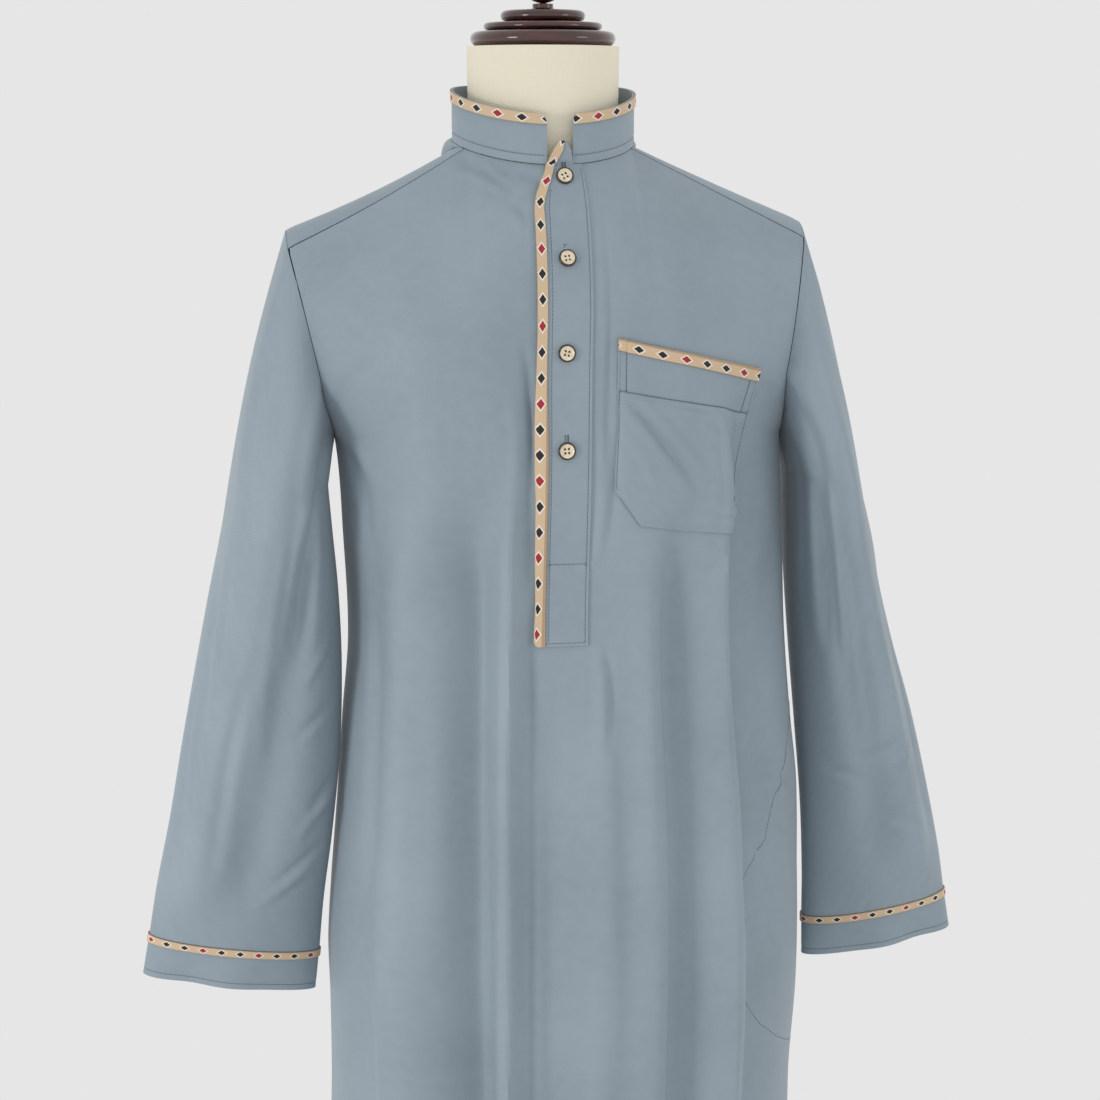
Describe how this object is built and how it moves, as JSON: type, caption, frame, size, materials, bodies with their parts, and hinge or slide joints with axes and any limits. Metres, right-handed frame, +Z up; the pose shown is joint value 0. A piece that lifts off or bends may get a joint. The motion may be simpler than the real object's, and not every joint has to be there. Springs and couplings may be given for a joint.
{
  "type": "thobe on a limbless dress form",
  "caption": "Slate-grey long-sleeved thobe with a band collar, buttoned placket and tape trim, on a linen dress form with a wooden cap and a pole stand.",
  "frame": {"origin": "centre of the stand base's underside, on the floor, on the pole's axis", "axes": "+Z up along the pole, -Y towards the garment's front, +X to the wearer's left"},
  "size_m": [0.7126, 0.3859, 1.6573],
  "materials": {
    "cloth": "satin",
    "tape": "matte",
    "button": "gloss",
    "linen": "matte",
    "wood": "gloss",
    "metal": "satin"
  },
  "bodies": {
    "root": {"front": "cloth", "back": "cloth", "sleeve_right": "cloth", "sleeve_left": "cloth", "cuff_band_right": "cloth", "cuff_band_left": "cloth", "collar": "cloth", "placket": "cloth", "chest_pocket": "cloth", "cuff_trim_right": "tape", "cuff_trim_left": "tape", "collar_trim": "tape", "placket_trim": "tape", "chest_pocket_trim": "tape", "button_1": "button", "button_2": "button", "button_3": "button", "button_4": "button", "form_torso": "linen", "form_neck_cap": "wood", "form_pole": "metal", "form_base": "metal"}
  },
  "joints": []
}
